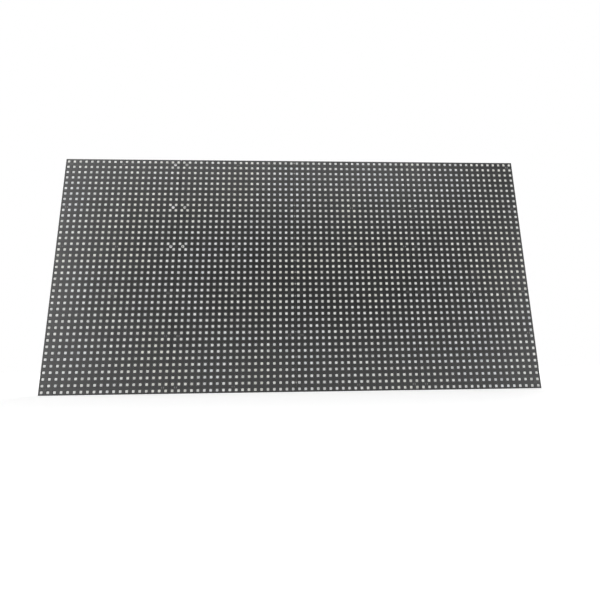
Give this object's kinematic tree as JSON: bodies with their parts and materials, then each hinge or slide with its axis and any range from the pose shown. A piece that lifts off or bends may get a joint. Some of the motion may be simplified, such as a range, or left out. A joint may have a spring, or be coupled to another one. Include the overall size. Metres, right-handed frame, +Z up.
{
  "type": "led display module",
  "caption": "Flat full-colour LED display tile: a dark mask over a grid of small LEDs, with a windowed rear frame that carries sockets and threaded mounting inserts.",
  "frame": {"origin": "centre of the rear mounting pattern, on the flat rear face of the frame", "axes": "+X along the length, to the right for someone who faces the LEDs; +Z up in use; the LED face looks towards -Y and +Y points out of the rear"},
  "size_m": [0.3198, 0.0146, 0.1598],
  "materials": {
    "mask_plastic": "fine moulded texture",
    "led_window": "milky resin",
    "led_body": "black moulded",
    "circuit_board": "green solder mask",
    "frame_plastic": "moulded",
    "screw_steel": "zinc plated",
    "insert_brass": "turned",
    "chip_plastic": "moulded epoxy",
    "lead_tin": "tinned",
    "ceramic_capacitor": "matt",
    "resistor_ceramic": "glazed",
    "header_plastic": "moulded",
    "power_plastic": "moulded nylon",
    "pin_metal": "plated",
    "capacitor_can": "satin can"
  },
  "bodies": {
    "root": {"front_mask_1": "mask_plastic", "front_mask_2": "mask_plastic", "front_mask_3": "mask_plastic", "front_mask_4": "mask_plastic", "led_rows_1": "led_window", "led_rows_2": "led_window", "led_rows_3": "led_window", "led_rows_4": "led_window", "circuit_board": "circuit_board", "rear_frame": "frame_plastic", "mask_screws": "screw_steel", "mounting_inserts": "insert_brass", "driver_chip_01": "chip_plastic", "driver_chip_02": "chip_plastic", "driver_chip_03": "chip_plastic", "driver_chip_04": "chip_plastic", "driver_chip_05": "chip_plastic", "driver_chip_06": "chip_plastic", "driver_chip_07": "chip_plastic", "driver_chip_08": "chip_plastic", "driver_chip_09": "chip_plastic", "driver_chip_10": "chip_plastic", "driver_chip_11": "chip_plastic", "driver_chip_12": "chip_plastic", "driver_chip_13": "chip_plastic", "driver_chip_14": "chip_plastic", "driver_chip_15": "chip_plastic", "driver_chip_16": "chip_plastic", "driver_chip_17": "chip_plastic", "driver_chip_18": "chip_plastic", "driver_chip_19": "chip_plastic", "driver_chip_20": "chip_plastic", "driver_chip_21": "chip_plastic", "driver_chip_22": "chip_plastic", "driver_chip_23": "chip_plastic", "driver_chip_24": "chip_plastic", "driver_chip_25": "chip_plastic", "driver_chip_26": "chip_plastic", "driver_chip_27": "chip_plastic", "driver_chip_28": "chip_plastic", "driver_chip_29": "chip_plastic", "driver_chip_30": "chip_plastic", "row_driver_chip_1": "chip_plastic", "row_driver_chip_2": "chip_plastic", "row_driver_chip_3": "chip_plastic", "buffer_chip_1": "chip_plastic", "buffer_chip_2": "chip_plastic", "ceramic_capacitors": "ceramic_capacitor", "current_resistors": "resistor_ceramic", "data_input_housing": "header_plastic", "data_input_pins": "pin_metal", "data_output_housing": "header_plastic", "data_output_pins": "pin_metal", "power_housing": "power_plastic", "power_pins": "pin_metal", "electrolytic_capacitor_1": "capacitor_can", "electrolytic_capacitor_2": "capacitor_can", "electrolytic_capacitor_3": "capacitor_can"}
  },
  "joints": []
}
